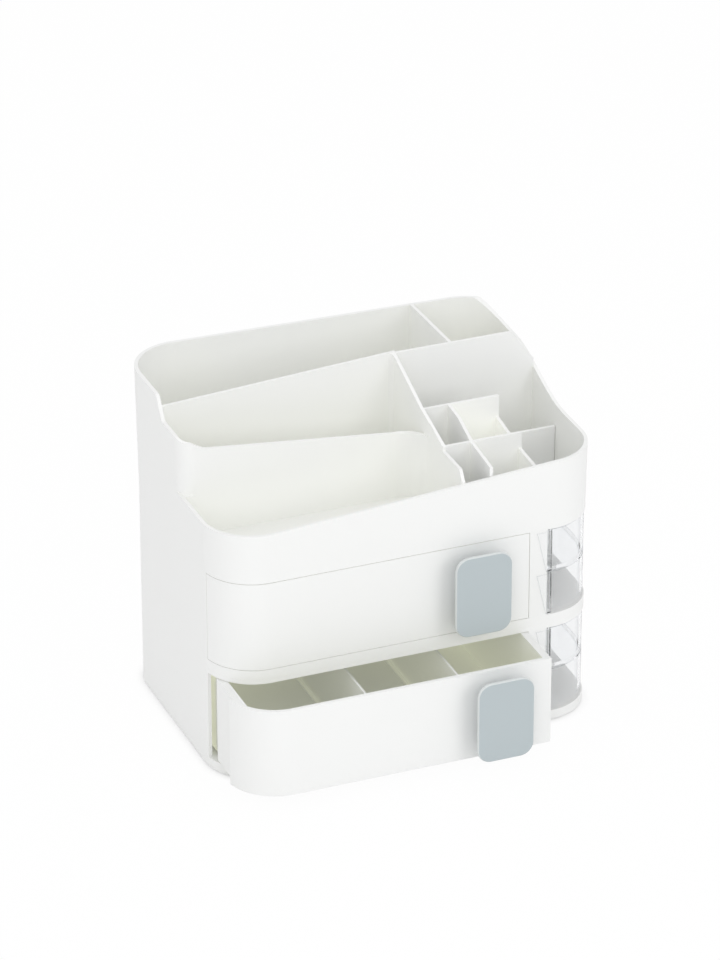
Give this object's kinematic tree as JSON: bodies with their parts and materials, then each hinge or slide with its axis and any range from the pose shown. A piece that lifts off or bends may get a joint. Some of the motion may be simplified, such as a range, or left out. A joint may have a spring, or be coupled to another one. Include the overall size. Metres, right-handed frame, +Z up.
{
  "type": "cosmetics organizer",
  "caption": "White vanity organizer: a terraced open tray on stacked drawer modules with grey stand-off pulls and clear swivel trays at the right front corner.",
  "frame": {"origin": "middle of the footprint at the bottom of the foot pads, with the lower drawer standing open", "axes": "+X to the right of a person who faces the drawers, +Y towards the back, +Z up; the drawers open towards -Y"},
  "size_m": [0.2828, 0.2472, 0.246],
  "materials": {
    "body_white": "satin white moulding with a very fine grain",
    "insert_white": "satin white moulding",
    "clear_plastic": "clear polished plastic",
    "pull_grey": "soft matt blue grey",
    "pull_stem_grey": "matt light grey",
    "pin_steel": "drawn steel rod",
    "washer_plastic": "slippery white plastic",
    "pad_rubber": "dull rubber"
  },
  "bodies": {
    "lower_module": {"foot_pads": "pad_rubber", "lower_base": "body_white", "lower_housing": "body_white", "lower_pivot_pin": "pin_steel", "lower_washers": "washer_plastic"},
    "upper_module": {"upper_base": "body_white", "upper_housing": "body_white", "upper_pivot_pin": "pin_steel", "upper_washers": "washer_plastic"},
    "lower_drawer_unit": {"lower_drawer": "body_white", "lower_dividers": "insert_white", "lower_pull_stem": "pull_stem_grey", "lower_pull_plate": "pull_grey"},
    "upper_drawer_unit": {"upper_drawer": "body_white", "upper_dividers": "insert_white", "upper_pull_stem": "pull_stem_grey", "upper_pull_plate": "pull_grey"},
    "top_tray_unit": {"top_tray": "body_white", "tray_insert": "insert_white"},
    "lower_swivel_bottom_unit": {"lower_swivel_bottom": "clear_plastic"},
    "lower_swivel_top_unit": {"lower_swivel_top": "clear_plastic"},
    "upper_swivel_bottom_unit": {"upper_swivel_bottom": "clear_plastic"},
    "upper_swivel_top_unit": {"upper_swivel_top": "clear_plastic"}
  },
  "joints": [
    {"name": "lower_drawer_slide", "type": "slide", "parent": "lower_module", "child": "lower_drawer_unit", "axis": [0, -1, 0], "range_m": [-0.04, 0.075]},
    {"name": "upper_module_lift", "type": "slide", "parent": "lower_module", "child": "upper_module", "axis": [0, 0, 1], "range_m": [0, 0.02]},
    {"name": "upper_drawer_slide", "type": "slide", "parent": "upper_module", "child": "upper_drawer_unit", "axis": [0, -1, 0], "range_m": [0, 0.115]},
    {"name": "top_tray_lift", "type": "slide", "parent": "upper_module", "child": "top_tray_unit", "axis": [0, 0, 1], "range_m": [0, 0.02]},
    {"name": "lower_swivel_bottom_hinge", "type": "hinge", "parent": "lower_module", "child": "lower_swivel_bottom_unit", "pos_m": [0.1311, 0.01, 0.0089], "axis": [0, 0, 1], "range_deg": [0, 90]},
    {"name": "lower_swivel_top_hinge", "type": "hinge", "parent": "lower_module", "child": "lower_swivel_top_unit", "pos_m": [0.1311, 0.01, 0.0418], "axis": [0, 0, 1], "range_deg": [0, 90]},
    {"name": "upper_swivel_bottom_hinge", "type": "hinge", "parent": "upper_module", "child": "upper_swivel_bottom_unit", "pos_m": [0.1311, 0.01, 0.0859], "axis": [0, 0, 1], "range_deg": [0, 90]},
    {"name": "upper_swivel_top_hinge", "type": "hinge", "parent": "upper_module", "child": "upper_swivel_top_unit", "pos_m": [0.1311, 0.01, 0.1188], "axis": [0, 0, 1], "range_deg": [0, 90]}
  ]
}
